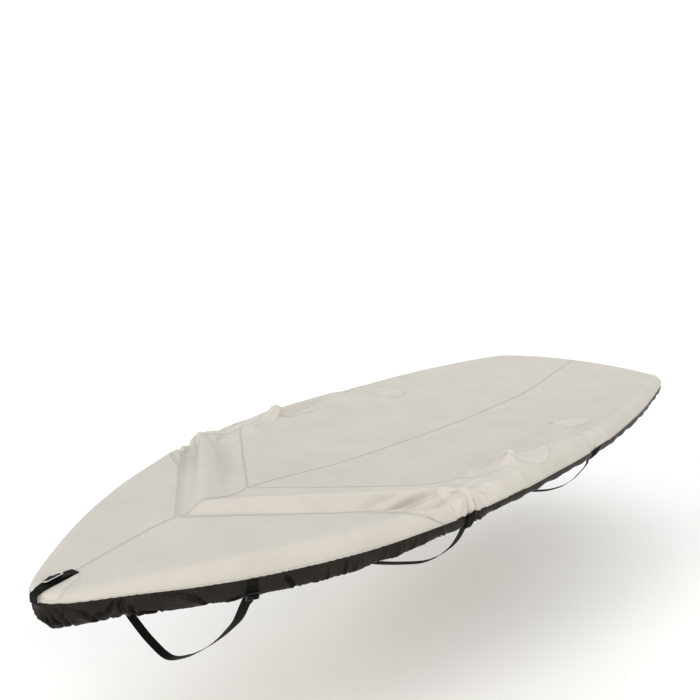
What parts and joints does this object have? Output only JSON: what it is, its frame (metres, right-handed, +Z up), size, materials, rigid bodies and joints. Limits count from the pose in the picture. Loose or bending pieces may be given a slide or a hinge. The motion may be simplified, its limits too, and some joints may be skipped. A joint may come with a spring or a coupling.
{
  "type": "boat cover",
  "caption": "Deck cover for a small sailing dinghy: beige canvas top shaped over its boat, black elastic skirt, belly straps with buckles and a webbing handle at the bow.",
  "frame": {"origin": "inner face of the top on the centre line at mid-length, where a hull's structure would carry the cover", "axes": "+X forward to the bow, +Y to port, +Z up"},
  "size_m": [4.1409, 1.5652, 0.5322],
  "materials": {
    "canvas": "coated woven canvas, warm beige, matt with a faint sheen",
    "patch_canvas": "the same beige canvas, doubled as sewn patches",
    "nylon": "black gathered nylon, semi-gloss",
    "webbing": "black woven webbing, matt",
    "plastic": "black moulded acetal, semi-gloss",
    "steel": "bright polished wire and plate"
  },
  "bodies": {
    "root": {"foredeck_port": "canvas", "insert_port": "canvas", "cockpit_port": "canvas", "foredeck_starboard": "canvas", "insert_starboard": "canvas", "cockpit_starboard": "canvas", "bow_patch_port": "patch_canvas", "shroud_patch_port": "patch_canvas", "tongue_patch_port": "patch_canvas", "cleat_patch_port": "patch_canvas", "aft_patch_port": "patch_canvas", "bow_patch_starboard": "patch_canvas", "shroud_patch_starboard": "patch_canvas", "tongue_patch_starboard": "patch_canvas", "cleat_patch_starboard": "patch_canvas", "aft_patch_starboard": "patch_canvas", "skirt_fore_port": "nylon", "skirt_aft_port": "nylon", "skirt_fore_starboard": "nylon", "skirt_aft_starboard": "nylon", "strap_tab_fore_port": "webbing", "strap_tab_mid_port": "webbing", "strap_tab_aft_port": "webbing", "strap_tab_fore_starboard": "webbing", "strap_tab_mid_starboard": "webbing", "strap_tab_aft_starboard": "webbing", "belly_strap_fore": "webbing", "strap_buckle_fore": "plastic", "strap_tail_fore": "webbing", "belly_strap_mid": "webbing", "strap_buckle_mid": "plastic", "strap_tail_mid": "webbing", "belly_strap_aft": "webbing", "strap_buckle_aft": "plastic", "strap_tail_aft": "webbing", "bow_webbing": "webbing", "bow_adjuster": "steel"}
  },
  "joints": []
}
